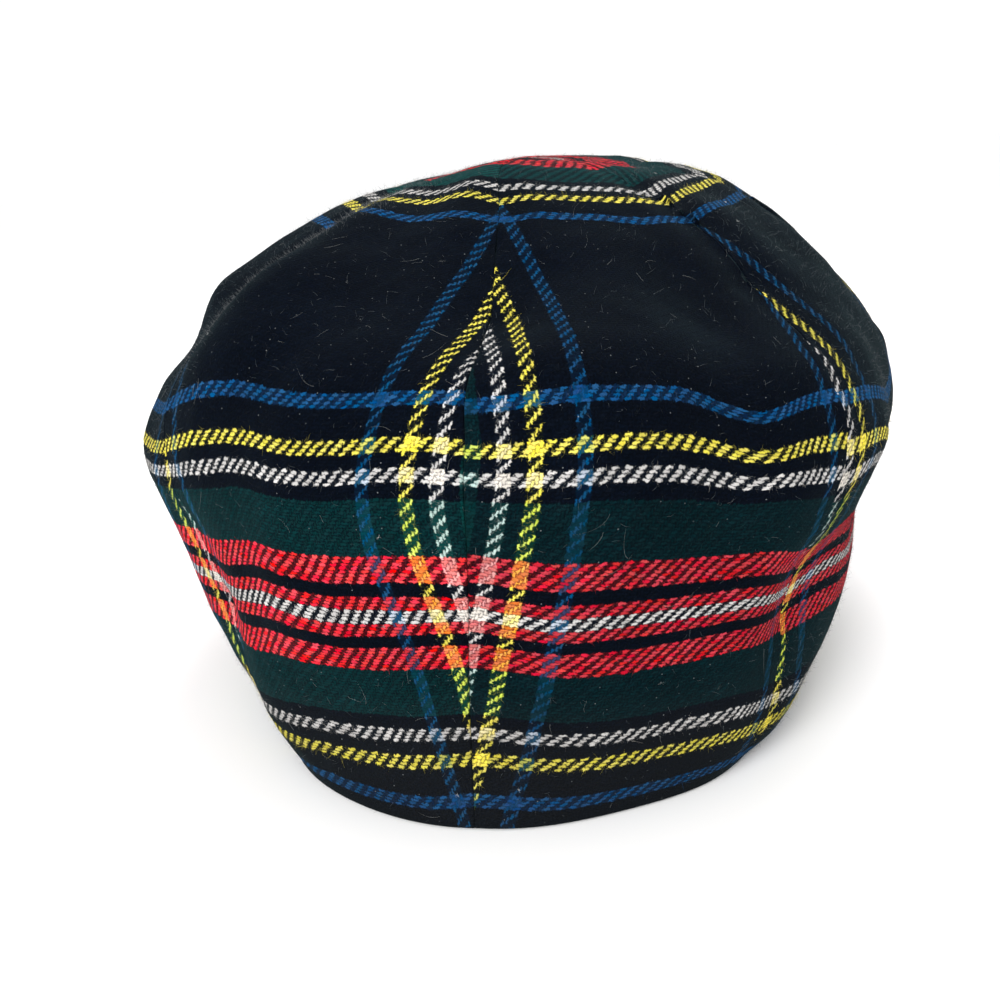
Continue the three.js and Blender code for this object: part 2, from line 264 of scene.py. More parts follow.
def grid_faces(rows, cols, start, flip=False):
    r, c = np.meshgrid(np.arange(rows - 1), np.arange(cols - 1), indexing="ij")
    a = start + r * cols + c
    q = np.stack([a, a + 1, a + cols + 1, a + cols], -1).reshape(-1, 4)
    return q[:, ::-1] if flip else q


EDGE = np.array([0, 0.3, 0.7, 1.2, 1.9, 3.0])
MIDDLE_COLUMNS = 54
FOLD_ROWS = 7


def gore_rows():
    return np.concatenate([np.arange(1.5, 17.9, 1.5), [18.0, 18.6, 19.2, 19.8], np.arange(21.0, 250.6, 1.5), [251.6, 252.4]])


def gore_sheet(k):
    """Places on one gore's cloth: outer and inner points, sideways and upward places on the flat cloth, and the way out."""
    v = gore_rows()
    first = k * GORE_ANGLE + slide(k, v)
    last = (k + 1) * GORE_ANGLE + slide(k + 1, v)
    fine = first[:, None] + (last - first)[:, None] * np.linspace(0, 1, 121)
    p, _ = skin(fine, np.repeat(v[:, None], 121, 1))
    arc = np.concatenate([np.zeros((len(v), 1)), np.cumsum(np.linalg.norm(np.diff(p, axis=1), axis=-1), 1)], 1)
    length = arc[:, -1]
    axis = np.array([np.interp((k + 0.5) * GORE_ANGLE, fine[i], arc[i]) for i in range(len(v))])
    place = []
    for i in range(len(v)):
        s = min(1.0, length[i] / 16)
        gap = min(SEAM_GAP / 2, length[i] / 8)
        e = gap + EDGE * s
        inner = np.linspace(e[-1], length[i] - e[-1], MIDDLE_COLUMNS)[1:-1]
        place.append(np.concatenate([e, inner, (length[i] - e)[::-1]]))
    place = np.array(place)
    angle = np.array([np.interp(place[i], arc[i], fine[i]) for i in range(len(v))])
    height = np.repeat(v[:, None], place.shape[1], 1)
    p, plain = skin(angle, height)
    normal = unit(np.cross(np.gradient(p, axis=1), np.gradient(p, axis=0)))
    mix = smooth((height - 238) / 10) + smooth((8 - height) / 6)
    normal = unit(normal * (1 - mix)[..., None] + plain * mix[..., None])
    edge = np.minimum(place, length[:, None] - place)
    seam = np.where(place < length[:, None] / 2, k, (k + 1) % 8)
    wide = (np.minimum(SEAM_ROLL, 0.14 * length) * (1 - 0.45 * smooth((v - 150) / 50)) * (1 - 0.6 * smooth((28 - v) / 14)))[:, None] * np.where(seam == 0, 0.8, 0.5)
    turned = 0.85 * wide * (1 - np.sqrt(np.clip(1 - np.clip(1 - edge / wide, 0, 1) ** 2, 0, 1)))
    near = np.exp(-edge / 7) * smooth(height / 25) * smooth((247 - height) / 40)
    pucker = 0.32 * near * (np.sin(height / 2.1 + seam * 1.7) * 0.5 + np.sin(height / 3.4 + seam * 2.9 + edge * 0.2) + 0.6 * np.sin(height / 5.3 + seam))
    uneven = 0.42 * ripple(p, 5, 22, 55, 26) + 0.10 * ripple(p, 9, 7, 14, 26)
    uneven = uneven * smooth(height / 14) * smooth((250 - height) / 14)
    base = p + normal * (pucker + uneven)[..., None]
    outer = base - normal * turned[..., None]
    thick = CLOTH + (HEM - CLOTH) * smooth((HEM_DEPTH + 1.4 - height) / 1.4)
    inner = base - normal * thick[..., None]
    return dict(outer=outer, inner=inner, normal=normal, side=place - axis[:, None], up=height, thick=thick)


def gore(k):
    name = GORES[k]
    g = gore_sheet(k)
    rows, cols = g["outer"].shape[:2]
    # the turned lower edge
    low = g["outer"][0]
    out = g["normal"][0].copy()
    out[:, 2] = 0
    out = unit(out)
    half = HEM / 2
    centre = low - out * half
    turn = np.linspace(0, math.pi, FOLD_ROWS + 2)[1:-1]
    fold = centre[None] + out[None] * (half * np.cos(turn))[:, None, None]
    fold[..., 2] = low[None, :, 2] * (1 - np.sin(turn))[:, None]
    sheet = np.concatenate([g["outer"][::-1], fold, g["inner"]])
    total = len(sheet)
    points = sheet.reshape(-1, 3)
    faces = grid_faces(total, cols, 0, flip=True)
    at = lambda r, c: r * cols + c
    sides, kinds = [], []
    for i in range(rows - 1):
        a, b = rows - 1 - i, rows - 2 - i  # outer rows of i and i + 1
        c, d = rows + FOLD_ROWS + i, rows + FOLD_ROWS + i + 1  # inner rows of i and i + 1
        sides.append((at(a, 0), at(b, 0), at(d, 0), at(c, 0)))
        sides.append((at(a, cols - 1), at(c, cols - 1), at(d, cols - 1), at(b, cols - 1)))
    tip = [(at(0, c), at(0, c + 1), at(total - 1, c + 1), at(total - 1, c)) for c in range(cols - 1)]
    caps = [[at(r, 0) for r in range(rows - 1, rows + FOLD_ROWS + 1)], [at(r, cols - 1) for r in range(rows + FOLD_ROWS, rows - 2, -1)]]
    extra = sides + tip + [tuple(c) for c in caps]
    flags = np.concatenate([np.ones(len(faces), bool), np.zeros(len(extra), bool)])
    obj = new_mesh("cloth_" + name, points, faces.tolist() + [list(f) for f in extra], flags)

    # places on the flat cloth, in millimetres, and on the unrolled piece
    left = k >= 4
    askew = pulled(k, g["side"], g["up"])
    across = g["side"] + CUT_AT[k] + askew[0]
    rise = g["up"] - BLACK_AT - (LEFT_RAISE if left else 0) + askew[1]
    fold_up = 1.5 - half * turn
    flat = np.concatenate([
        np.stack([across[::-1], rise[::-1]], -1),
        np.stack([np.repeat(across[:1], FOLD_ROWS, 0), rise[:1] + fold_up[:, None] - 1.5], -1),
        np.stack([across, rise], -1),
    ]).reshape(-1, 2)
    loops = np.zeros(len(obj.data.loops), np.int32)
    obj.data.loops.foreach_get("vertex_index", loops)
    add_uv(obj, "weave", flat[loops])
    side = np.concatenate([g["side"][::-1], np.repeat(g["side"][:1], FOLD_ROWS, 0), g["side"]]).ravel()
    up = np.concatenate([g["up"][::-1], np.repeat(fold_up[:, None], cols, 1), g["up"]]).ravel()
    scale = 0.965 / 258
    front = np.stack([0.235 + side * scale, 0.028 + up * scale], -1)
    behind = np.stack([0.715 - side * scale, 0.028 + up * scale], -1)
    seams = np.stack([np.full(len(side), 0.975), 0.028 + up * scale], -1)
    depth = np.concatenate([np.zeros(rows), np.linspace(0.2, 0.8, FOLD_ROWS), np.ones(rows)]).repeat(cols)
    seams[:, 0] += 0.008 * depth + np.where(np.arange(len(side)) % cols == 0, -0.01, 0.002)
    n_front = (rows + FOLD_ROWS - 1) * (cols - 1) * 4
    n_grid = (total - 1) * (cols - 1) * 4
    bake = np.concatenate([front[loops[:n_front]], behind[loops[n_front:n_grid]], seams[loops[n_grid:]]])
    add_uv(obj, "OFBake", bake)
    width = np.ptp(g["side"], axis=1)
    area = float(np.trapz(width, g["up"][:, 0])) * MM * MM
    g.update(obj=obj, flat_size=(float(width.max()) * MM, GORE_LENGTH * MM), area=area, across=across, along=rise)
    return g


# ------------------------------------------------------------------ the peak
PEAK_REACH, PEAK_END, PEAK_HALF_DEG, PEAK_RISE = 56.0, 3.0, 58.5, 9.0
PEAK_LOW, PEAK_GAP, PEAK_ROOT, PEAK_EDGE, PEAK_FORWARD = 0.5, 0.5, 4.0, 3.2, 0.7
PEAK_COLUMNS, PEAK_ROUND = 130, 1.7
FACET = (GORE_LENGTH - 1.2) / 22


def peak():
    f = np.linspace(1, -1, PEAK_COLUMNS)
    angle = math.pi + f * PEAK_HALF_DEG * RAD
    rim, square = skin(angle, np.zeros_like(angle))
    upper, _ = skin(angle, np.full_like(angle, FACET))
    low = rim + (upper - rim) * (PEAK_LOW / FACET) + square * PEAK_GAP
    high = rim + (upper - rim) * ((PEAK_LOW + PEAK_ROOT) / FACET) + square * PEAK_GAP
    forward = PEAK_FORWARD * (1 - f ** 4)
    ahead = unit(square * (1 - forward)[:, None] + np.array([0, 1.0, 0]) * forward[:, None])
    reach = PEAK_END + (PEAK_REACH - PEAK_END) * (1 - np.abs(f) ** 2.4) ** 0.8
    steps = np.concatenate([np.linspace(0, 0.93, 30), 1 - 0.07 * (1 - np.linspace(0, 1, 14)[1:]) ** 1.8])
    top, bottom = [], []
    for s in steps:
        arch = PEAK_RISE * (1 - f * f) * s * (1.25 - 0.25 * s)
        to_edge = reach * (1 - s)
        shape = np.sqrt(np.clip(1 - np.clip(1 - to_edge / PEAK_ROUND, 0, 1) ** 2, 0, 1))
        half = (PEAK_ROOT - (PEAK_ROOT - PEAK_EDGE) * s) / 2
        lift = np.zeros((len(f), 3))
        lift[:, 2] = arch
        t = high + ahead * (reach * s)[:, None] + lift
        b = low + ahead * (reach * s)[:, None] + lift
        middle = (t + b) / 2
        thin = half * shape / np.maximum(np.linalg.norm(t - b, axis=1) / 2, 1e-6)
        uneven = 0.10 * ripple(middle, 3, 12, 30, 20) * smooth(to_edge / 6)
        rise = np.zeros((len(f), 3))
        rise[:, 2] = uneven
        top.append(middle + (t - b) / 2 * thin[:, None] + rise)
        bottom.append(middle - (t - b) / 2 * thin[:, None] + rise)
    top, bottom = np.array(top), np.array(bottom)
    bottom[..., 2] = np.maximum(bottom[..., 2], 0.3)
    rows, cols = top.shape[:2]
    sheet = np.concatenate([top, bottom[::-1][1:]])
    total = len(sheet)
    points = sheet.reshape(-1, 3)
    faces = grid_faces(total, cols, 0)
    at = lambda r, c: r * cols + c
    extra = []
    for i in range(rows - 1):
        j, m = total - 1 - i, total - 2 - i
        if m == i + 1:
            extra.append([at(i, 0), at(i + 1, 0), at(j, 0)])
            extra.append([at(i, cols - 1), at(j, cols - 1), at(i + 1, cols - 1)])
        else:
            extra.append([at(i, 0), at(i + 1, 0), at(m, 0), at(j, 0)])
            extra.append([at(i, cols - 1), at(j, cols - 1), at(m, cols - 1), at(i + 1, cols - 1)])
    extra += [[at(0, c + 1), at(0, c), at(total - 1, c), at(total - 1, c + 1)] for c in range(cols - 1)]
    flags = np.concatenate([np.ones(len(faces), bool), np.zeros(len(extra), bool)])
    obj = new_mesh("cloth_peak", points, faces.tolist() + extra, flags)
    loops = np.zeros(len(obj.data.loops), np.int32)
    obj.data.loops.foreach_get("vertex_index", loops)
    flat = np.stack([points[:, 0] + 3.0, points[:, 1] - 128.0], -1)
    add_uv(obj, "weave", flat[loops])
    span = 175.0
    front = np.stack([0.5 + points[:, 0] / span * 0.96, 0.52 + (points[:, 1] - 30) / span * 0.66], -1)
    under = np.stack([0.5 - points[:, 0] / span * 0.96, 0.02 + (points[:, 1] - 30) / span * 0.66], -1)
    n_front = (rows - 1) * (cols - 1) * 4
    add_uv(obj, "OFBake", np.concatenate([front[loops[:n_front]], under[loops[n_front:]]]))
    normal = unit(np.cross(np.gradient(top, axis=1), np.gradient(top, axis=0)))
    normal *= np.sign(normal[..., 2:3])
    return dict(obj=obj, outer=top, normal=normal, across=top[..., 0] + 3.0, along=top[..., 1] - 128.0)


# ------------------------------------------------------------------ materials
class Nodes:
    """Short names for the shader nodes."""

    def __init__(self, name):
        self.material = bpy.data.materials.new(name)
        self.material.use_nodes = True
        self.tree = self.material.node_tree
        self.tree.nodes.clear()
        self.output = self.add("ShaderNodeOutputMaterial")

    def add(self, kind, **settings):
        node = self.tree.nodes.new(kind)
        for key, value in settings.items():
            setattr(node, key, value)
        return node

    def put(self, socket, value):
        if isinstance(value, bpy.types.NodeSocket):
            self.tree.links.new(value, socket)
        elif value is not None:
            socket.default_value = value

    def math(self, operation, a, b=None, c=None):
        node = self.add("ShaderNodeMath", operation=operation)
        for socket, value in zip(node.inputs, (a, b, c)):
            self.put(socket, value)
        return node.outputs[0]

    def blend(self, factor, a, b):
        node = self.add("ShaderNodeMix", data_type="FLOAT")
        self.put(node.inputs[0], factor)
        self.put(node.inputs[2], a)
        self.put(node.inputs[3], b)
        return node.outputs[0]

    def colour(self, factor, a, b, mode="MIX"):
        node = self.add("ShaderNodeMix", data_type="RGBA", blend_type=mode)
        self.put(node.inputs[0], factor)
        self.put(node.inputs[6], a)
        self.put(node.inputs[7], b)
        return node.outputs[2]

    def noise(self, vector, scale, detail=2.0, roughness=0.5, distortion=0.0):
        node = self.add("ShaderNodeTexNoise")
        self.put(node.inputs["Vector"], vector)
        node.inputs["Scale"].default_value = scale
        node.inputs["Detail"].default_value = detail
        node.inputs["Roughness"].default_value = roughness
        node.inputs["Distortion"].default_value = distortion
        return node

    def span(self, value, a, b, c=0.0, d=1.0, kind="SMOOTHSTEP"):
        node = self.add("ShaderNodeMapRange", interpolation_type=kind)
        for socket, x in zip(node.inputs, (value, a, b, c, d)):
            self.put(socket, x)
        return node.outputs[0]

    def vector(self, x, y, z=0.0):
        node = self.add("ShaderNodeCombineXYZ")
        for socket, value in zip(node.inputs, (x, y, z)):
            self.put(socket, value)
        return node.outputs[0]

    def sett(self, threads, yarn):
        ramp = self.add("ShaderNodeValToRGB")
        ramp.color_ramp.interpolation = "CONSTANT"
        stops = ramp.color_ramp.elements
        at = 0
        for n, (name, count) in enumerate(SETT):
            stop = stops[n] if n < 2 else stops.new(at / HALF_SETT)
            stop.position = at / HALF_SETT
            stop.color = (*yarn[name], 1)
            at += count
        along = self.math("PINGPONG", self.math("ADD", threads, 0.5), float(HALF_SETT))
        self.put(ramp.inputs[0], self.math("DIVIDE", along, float(HALF_SETT)))
        return ramp.outputs[0]


def tartan(name, yarn, upright_blue, sunk):
    n = Nodes(name)
    uv = n.add("ShaderNodeUVMap", uv_map="weave").outputs[0]
    place = n.add("ShaderNodeSeparateXYZ")
    n.put(place.inputs[0], uv)

    def parts(scale, detail, roughness=0.5):
        node = n.add("ShaderNodeSeparateColor")
        n.put(node.inputs[0], n.noise(uv, scale, detail, roughness).outputs["Color"])
        return node.outputs

    slow, quick, frayed = parts(0.045, 2), parts(0.6, 2), parts(2.3, 3, 0.6)

    def threads(k):
        x = n.math("DIVIDE", place.outputs[k], THREAD)
        for wobble, much in ((slow, 1.6), (quick, 1.2), (frayed, 1.55)):
            x = n.math("MULTIPLY_ADD", n.math("SUBTRACT", wobble[k], 0.5), much, x)
        return x

    x, y = threads(0), threads(1)
    i, j = n.math("FLOOR", x), n.math("FLOOR", y)
    fx, fy = n.math("FRACT", x), n.math("FRACT", y)
    # twill, two over and two under: how far this place is from the middle of the crosswise and of the upright float
    crosswise = n.math("SUBTRACT", n.math("SUBTRACT", x, j), 1.0)
    upright = n.math("ADD", n.math("SUBTRACT", y, i), 2.0)
    off_weft = n.math("SUBTRACT", n.math("FLOORED_MODULO", crosswise, 4.0), 2.0)
    off_warp = n.math("SUBTRACT", n.math("FLOORED_MODULO", upright, 4.0), 2.0)
    weft = n.math("LESS_THAN", n.math("ABSOLUTE", off_weft), 1.0 + OVERHANG)  # the crosswise thread is on top here
    run = n.blend(weft, off_warp, n.math("DIVIDE", off_weft, 1.0 + OVERHANG))  # -1 to 1 along the float
    wide = n.math("SUBTRACT", n.blend(weft, fx, fy), 0.5)
    wide = n.math("MULTIPLY_ADD", run, -0.07, wide)  # the twist leans each float along the twill
    across = n.math("ABSOLUTE", n.math("MULTIPLY", wide, 2.0))
    along = n.math("ABSOLUTE", run)
    body = n.math("SUBTRACT", 1.0, n.math("MULTIPLY_ADD", n.math("POWER", across, 2.0), 1.05, n.math("POWER", along, 2.4)))

    # each float of yarn differs a little
    which = n.add("ShaderNodeTexWhiteNoise", noise_dimensions="3D")
    n.put(which.inputs["Vector"], n.vector(n.math("FLOOR", n.math("DIVIDE", n.blend(weft, upright, crosswise), 4.0)), n.blend(weft, i, j), weft))
    own = n.add("ShaderNodeSeparateColor")
    n.put(own.inputs[0], which.outputs["Color"])

    warp_colour, weft_colour = n.sett(i, dict(yarn, blue=upright_blue)), n.sett(j, yarn)
    top = n.colour(weft, warp_colour, weft_colour)
    under = n.colour(weft, weft_colour, warp_colour)
    def paleness(colour):
        node = n.add("ShaderNodeRGBToBW")
        n.put(node.inputs[0], colour)
        return node.outputs[0]

    # milled wool: the yarn below shows through the one on top, and the gaps between them get painted shade
    fine = n.noise(uv, 2.6, 4, 0.65).outputs["Fac"]
    pale_top, pale_under = paleness(top), paleness(under)
    dark = n.span(pale_top, 0.027, 0.031, 1.0, 0.0)
    through = n.span(pale_top, 0.12, 0.36, 0.0, 0.26)
    through = n.math("MULTIPLY_ADD", dark, n.span(pale_under, 0.027, 0.031, 0.43, 0.0), through)
    hue = n.add("ShaderNodeSeparateColor")
    n.put(hue.inputs[0], under)
    redness = n.span(n.math("MULTIPLY_ADD", hue.outputs[1], -2.0, hue.outputs[0]), 0.05, 0.30)
    through = n.math("MULTIPLY_ADD", dark, n.math("MULTIPLY", redness, n.span(fine, 0.36, 0.68, 0.04, 0.17)), through)
    bluish = n.math("MULTIPLY", n.span(pale_top, 0.029, 0.033), n.span(pale_top, 0.060, 0.075, 1.0, 0.0))
    through = n.math("MULTIPLY_ADD", n.math("MULTIPLY", bluish, redness), 0.05, through)
    below = n.math("MULTIPLY", n.span(pale_under, 0.029, 0.033), n.span(pale_under, 0.060, 0.075, 1.0, 0.0))
    through = n.math("MULTIPLY_ADD", n.math("MULTIPLY", dark, below), n.span(pale_under, 0.046, 0.051, 0.06, 0.22), through)
    green_below = n.math("MULTIPLY", n.span(hue.outputs[1], 0.008, 0.014), n.span(pale_under, 0.027, 0.031, 1.0, 0.0))
    through = n.math("MULTIPLY_ADD", n.math("MULTIPLY", bluish, green_below), sunk, through)
    shade = n.add("ShaderNodeSeparateColor")
    n.put(shade.inputs[0], top)
    red_top = n.span(n.math("MULTIPLY_ADD", shade.outputs[1], -2.0, shade.outputs[0]), 0.05, 0.30)
    through = n.math("MULTIPLY_ADD", n.math("MULTIPLY", n.span(pale_top, 0.30, 0.45), redness), 0.20, through)
    through = n.math("MULTIPLY_ADD", n.math("MULTIPLY", n.span(pale_under, 0.30, 0.45), red_top), 0.18, through)
    mixed = n.colour(through, top, under)
    # and its colour tinges it
    tinge = n.add("ShaderNodeSeparateColor", mode="HSV")
    n.put(tinge.inputs[0], under)
    pure = n.add("ShaderNodeCombineColor", mode="HSV")
    n.put(pure.inputs[0], tinge.outputs[0])
    n.put(pure.inputs[1], n.math("MULTIPLY", tinge.outputs[1], n.span(tinge.outputs[2], 0.004, 0.016, 0.25, 1.0)))
    n.put(pure.inputs[2], 1.0)
    mixed = n.colour(0.30, mixed, n.colour(1.0, mixed, pure.outputs[0], "MULTIPLY"))
    root = n.add("ShaderNodeGamma")
    n.put(root.inputs[0], n.colour(1.0, top, under, "MULTIPLY"))
    root.inputs[1].default_value = 0.5
    apart = n.math("ABSOLUTE", n.math("SUBTRACT", pale_top, pale_under))
    gap_shade = n.math("MULTIPLY", n.span(apart, 0.04, 0.15, 0.85, 0.40), n.span(n.math("MINIMUM", pale_top, pale_under), 0.05, 0.30, 1.0, 0.55))
    # painted shade in the gaps between the floats, deeper where the yarns differ
    gap = n.add("ShaderNodeVectorMath", operation="SCALE")
    n.put(gap.inputs[0], root.outputs[0])
    n.put(gap.inputs["Scale"], gap_shade)
    gap = gap.outputs[0]
    full = n.math("MULTIPLY_ADD", red_top, 0.13, body)  # the red yarn is the fullest
    cover = n.span(n.math("MULTIPLY_ADD", n.math("SUBTRACT", fine, 0.5), 1.1, full), -0.05, 0.50)
    cloth = n.colour(cover, gap, mixed)
    # uneven dye, light and dark fibres along the yarn, and painted shade on each float
    light = n.math("MULTIPLY", n.span(own.outputs[0], 0, 1, 0.83, 1.14, "LINEAR"), n.span(fine, 0.25, 0.75, 0.70, 1.26, "LINEAR"))
    light = n.math("MULTIPLY", light, n.span(body, -0.1, 0.8, 0.76, 1.15, "LINEAR"))  # painted shade: each float darker towards its edges, as on a round yarn
    grain = n.span(n.noise(uv, 1.9, 3, 0.75).outputs["Fac"], 0.3, 0.7, -0.26, 0.30, "LINEAR")
    light = n.math("MULTIPLY", light, n.math("MULTIPLY_ADD", dark, grain, 1.0))  # the dark yarns are milled to a felt
    patch = n.noise(uv, 0.035, 3).outputs["Fac"]
    light = n.math("MULTIPLY", light, n.span(patch, 0.3, 0.7, 0.88, 1.10))
    light = n.math("MULTIPLY", light, n.span(place.outputs[1], -122.0, -113.0, 0.80, 1.0))  # darker towards the lower edge
    dye = n.add("ShaderNodeHueSaturation")
    n.put(dye.inputs["Hue"], n.span(n.math("MULTIPLY_ADD", own.outputs[1], 0.5, n.math("MULTIPLY", quick[2], 0.5)), 0.2, 0.8, 0.4950, 0.5050, "LINEAR"))
    n.put(dye.inputs["Saturation"], n.span(own.outputs[2], 0, 1, 0.94, 1.03, "LINEAR"))
    n.put(dye.inputs["Value"], light)
    n.put(dye.inputs["Color"], cloth)
    cloth = dye.outputs[0]
    # the nap: fine fibres that lie over everything, and a few specks of lint
    wander = n.add("ShaderNodeVectorMath", operation="SCALE")
    n.put(wander.inputs[0], n.noise(uv, 0.5, 3).outputs["Color"])
    wander.inputs["Scale"].default_value = 9.0
    moved = n.add("ShaderNodeVectorMath", operation="ADD")
    n.put(moved.inputs[0], uv)
    n.put(moved.inputs[1], wander.outputs[0])
    hairs = n.add("ShaderNodeTexVoronoi", feature="DISTANCE_TO_EDGE", voronoi_dimensions="2D")
    n.put(hairs.inputs["Vector"], moved.outputs[0])
    hairs.inputs["Scale"].default_value = 0.42
    hair = n.span(hairs.outputs["Distance"], 0.0, 0.026, 1.0, 0.0)
    hair = n.math("MULTIPLY", hair, n.span(n.noise(uv, 0.33, 2).outputs["Fac"], 0.52, 0.70))
    cloth = n.colour(n.math("MULTIPLY", hair, 0.07), cloth, (0.09, 0.12, 0.15, 1))
    nap = n.span(n.noise(uv, 5.5, 3, 0.7).outputs["Fac"], 0.55, 0.82)
    cloth = n.colour(n.math("MULTIPLY", nap, 0.03), cloth, (0.06, 0.09, 0.12, 1))
    # painted light: the green at the top is brightened, as where the light catches it
    painted_top_light = n.math("MULTIPLY", n.span(place.outputs[1], 52.0, 57.0), n.math("MULTIPLY", dark, n.span(shade.outputs[1], 0.008, 0.014)))
    cloth = n.colour(painted_top_light, cloth, n.colour(1.0, cloth, (0.80, 2.5, 2.1, 1), "MULTIPLY"))
    worn = n.span(place.outputs[1], -128.0, -104.0, 1.0, 0.0)  # the lower edge is rubbed and a little grey
    cloth = n.colour(n.math("MULTIPLY", n.span(fine, 0.30, 0.70, 0.25, 1.0), n.math("MULTIPLY", worn, 0.075)), cloth, (0.10, 0.105, 0.095, 1))
    specks = n.add("ShaderNodeTexVoronoi", feature="F1", voronoi_dimensions="2D")
    n.put(specks.inputs["Vector"], uv)
    specks.inputs["Scale"].default_value = 0.30
    chosen = n.add("ShaderNodeSeparateColor")
    n.put(chosen.inputs[0], specks.outputs["Color"])
    dot = n.math("MULTIPLY", n.span(specks.outputs["Distance"], 0.022, 0.050, 1.0, 0.0), n.span(chosen.outputs[0], 0.80, 0.86))
    cloth = n.colour(n.math("MULTIPLY", dot, n.span(chosen.outputs[1], 0, 1, 0.15, 0.75, "LINEAR")), cloth, (0.30, 0.32, 0.33, 1))

    height = n.math("MULTIPLY_ADD", fine, 0.55, n.math("MULTIPLY", n.math("MAXIMUM", body, -0.2), n.span(dark, 0.0, 1.0, 0.7, 0.35)))
    bump = n.add("ShaderNodeBump")
    bump.inputs["Strength"].default_value = 0.55
    bump.inputs["Distance"].default_value = 0.00030
    n.put(bump.inputs["Height"], height)
    shader = n.add("ShaderNodeBsdfPrincipled")
    n.put(shader.inputs["Base Color"], cloth)
    n.put(shader.inputs["Normal"], bump.outputs[0])
    shader.inputs["Roughness"].default_value = 0.95
    shader.inputs["Specular IOR Level"].default_value = 0.02
    shader.inputs["Sheen Weight"].default_value = 0.04
    shader.inputs["Sheen Roughness"].default_value = 0.26
    shader.inputs["Sheen Tint"].default_value = (0.38, 0.78, 0.80, 1)
    n.put(n.output.inputs[0], shader.outputs[0])
    return n.material


def fibre_material(name, colour, lift):
    n = Nodes(name)
    where = n.add("ShaderNodeTexCoord").outputs["Object"]
    vary = n.noise(where, 900.0, 2).outputs["Fac"]
    pale = tuple(c * (1 - lift) + lift * g for c, g in zip(colour, (0.42, 0.44, 0.44)))
    shader = n.add("ShaderNodeBsdfPrincipled")
    dark = tuple(0.55 * c for c in pale)
    n.put(shader.inputs["Base Color"], n.colour(n.span(vary, 0.3, 0.7), (*dark, 1), (*pale, 1)))
    shader.inputs["Roughness"].default_value = 0.7
    shader.inputs["Specular IOR Level"].default_value = 0.2
    n.put(n.output.inputs[0], shader.outputs[0])
    return n.material


# ------------------------------------------------------------------ fuzz: short fibres that stand off the cloth
COLOURS = tuple(YARN)


def sett_colour(place):
    """The number of the yarn colour at a place on the flat cloth, in millimetres."""
    t = np.floor(place / THREAD) + 0.5
    t = np.abs(np.mod(t + HALF_SETT, 2 * HALF_SETT) - HALF_SETT)
    ends = np.cumsum([c for _, c in SETT])
    names = np.array([COLOURS.index(c) for c, _ in SETT])
    return names[np.clip(np.searchsorted(ends, t, side="right"), 0, len(SETT) - 1)]


def scatter(g, count, rng):
    """Random places on the outer grid, even over its area: points, ways out and places on the flat cloth."""
    p = g["outer"]
    a = np.linalg.norm(np.cross(p[1:, :-1] - p[:-1, :-1], p[:-1, 1:] - p[:-1, :-1]), axis=-1).ravel()
    cell = rng.choice(len(a), count, p=a / a.sum())
    r, c = np.divmod(cell, p.shape[1] - 1)
    s, t = rng.random((2, count))

    def at(x):
        s_, t_ = (s[:, None], t[:, None]) if x.ndim == 3 else (s, t)
        return (x[r, c] * (1 - s_) + x[r + 1, c] * s_) * (1 - t_) + (x[r, c + 1] * (1 - s_) + x[r + 1, c + 1] * s_) * t_

    return at(p), unit(at(g["normal"])), at(g["across"]), at(g["along"])


def fibres_of(name, roots, normals, kinds, length, stand, curl, width, steps, rng, materials):
    """Fine bent fibres, each a closed three-sided tube that narrows to a point."""
    count = len(roots)
    side = unit(np.cross(normals, rng.normal(size=(count, 3))))
    lean = side * np.cos(stand)[:, None] + normals * np.sin(stand)[:, None]
    bend = unit(np.cross(normals, side) * rng.normal(size=(count, 1)) * 1.2 - normals * rng.uniform(0.1, 1.0, (count, 1)))
    t = np.linspace(0, 1, steps + 1)
    line = roots[:, None] - normals[:, None] * 0.12 + lean[:, None] * (length[:, None] * t)[..., None] + bend[:, None] * (curl[:, None] * length[:, None] * t ** 2)[..., None]
    keep = line[..., 2].min(1) > 0.15
    line, lean, kinds, width = line[keep], lean[keep], kinds[keep], width[keep]
    count = len(line)
    u = unit(np.cross(lean, rng.normal(size=(count, 3))))
    w = np.cross(lean, u)
    half = (width[:, None] / 2) * (1 - 0.6 * t[None, :-1])
    ring = []
    for turn in (0, 2 * math.pi / 3, 4 * math.pi / 3):
        ring.append(line[:, :-1] + (u * math.cos(turn) + w * math.sin(turn))[:, None] * half[..., None])
    ring = np.stack(ring, 2).reshape(count, -1, 3)
    points = np.concatenate([ring, line[:, -1:]], 1)
    n = points.shape[1]
    cells = [(0, 2, 1)]
    for s in range(steps - 1):
        for a, b in ((0, 1), (1, 2), (2, 0)):
            cells.append((3 * s + a, 3 * s + b, 3 * s + 3 + b))
            cells.append((3 * s + a, 3 * s + 3 + b, 3 * s + 3 + a))
    cells += [(3 * steps - 3 + a, 3 * steps - 3 + b, n - 1) for a, b in ((0, 1), (1, 2), (2, 0))]
    cells = np.array(cells)
    faces = ((np.arange(count) * n)[:, None, None] + cells[None]).reshape(-1, 3)
    obj = new_mesh(name, points.reshape(-1, 3), faces.tolist())
    for m in materials:
        obj.data.materials.append(m)
    obj.data.polygons.foreach_set("material_index", np.repeat(kinds, len(cells)).astype(np.int32))
    where = np.concatenate([np.repeat(np.arange(steps), 3), [steps]]) / steps
    turn = np.concatenate([np.tile([0.25, 0.5, 0.75], steps), [0.5]])
    uv = np.stack([(kinds[:, None] + turn[None]) / len(materials), np.repeat((0.1 + 0.8 * where)[None], count, 0)], -1).reshape(-1, 2)
    loops = np.zeros(len(obj.data.loops), np.int32)
    obj.data.loops.foreach_get("vertex_index", loops)
    add_uv(obj, "OFBake", uv[loops])
    return obj


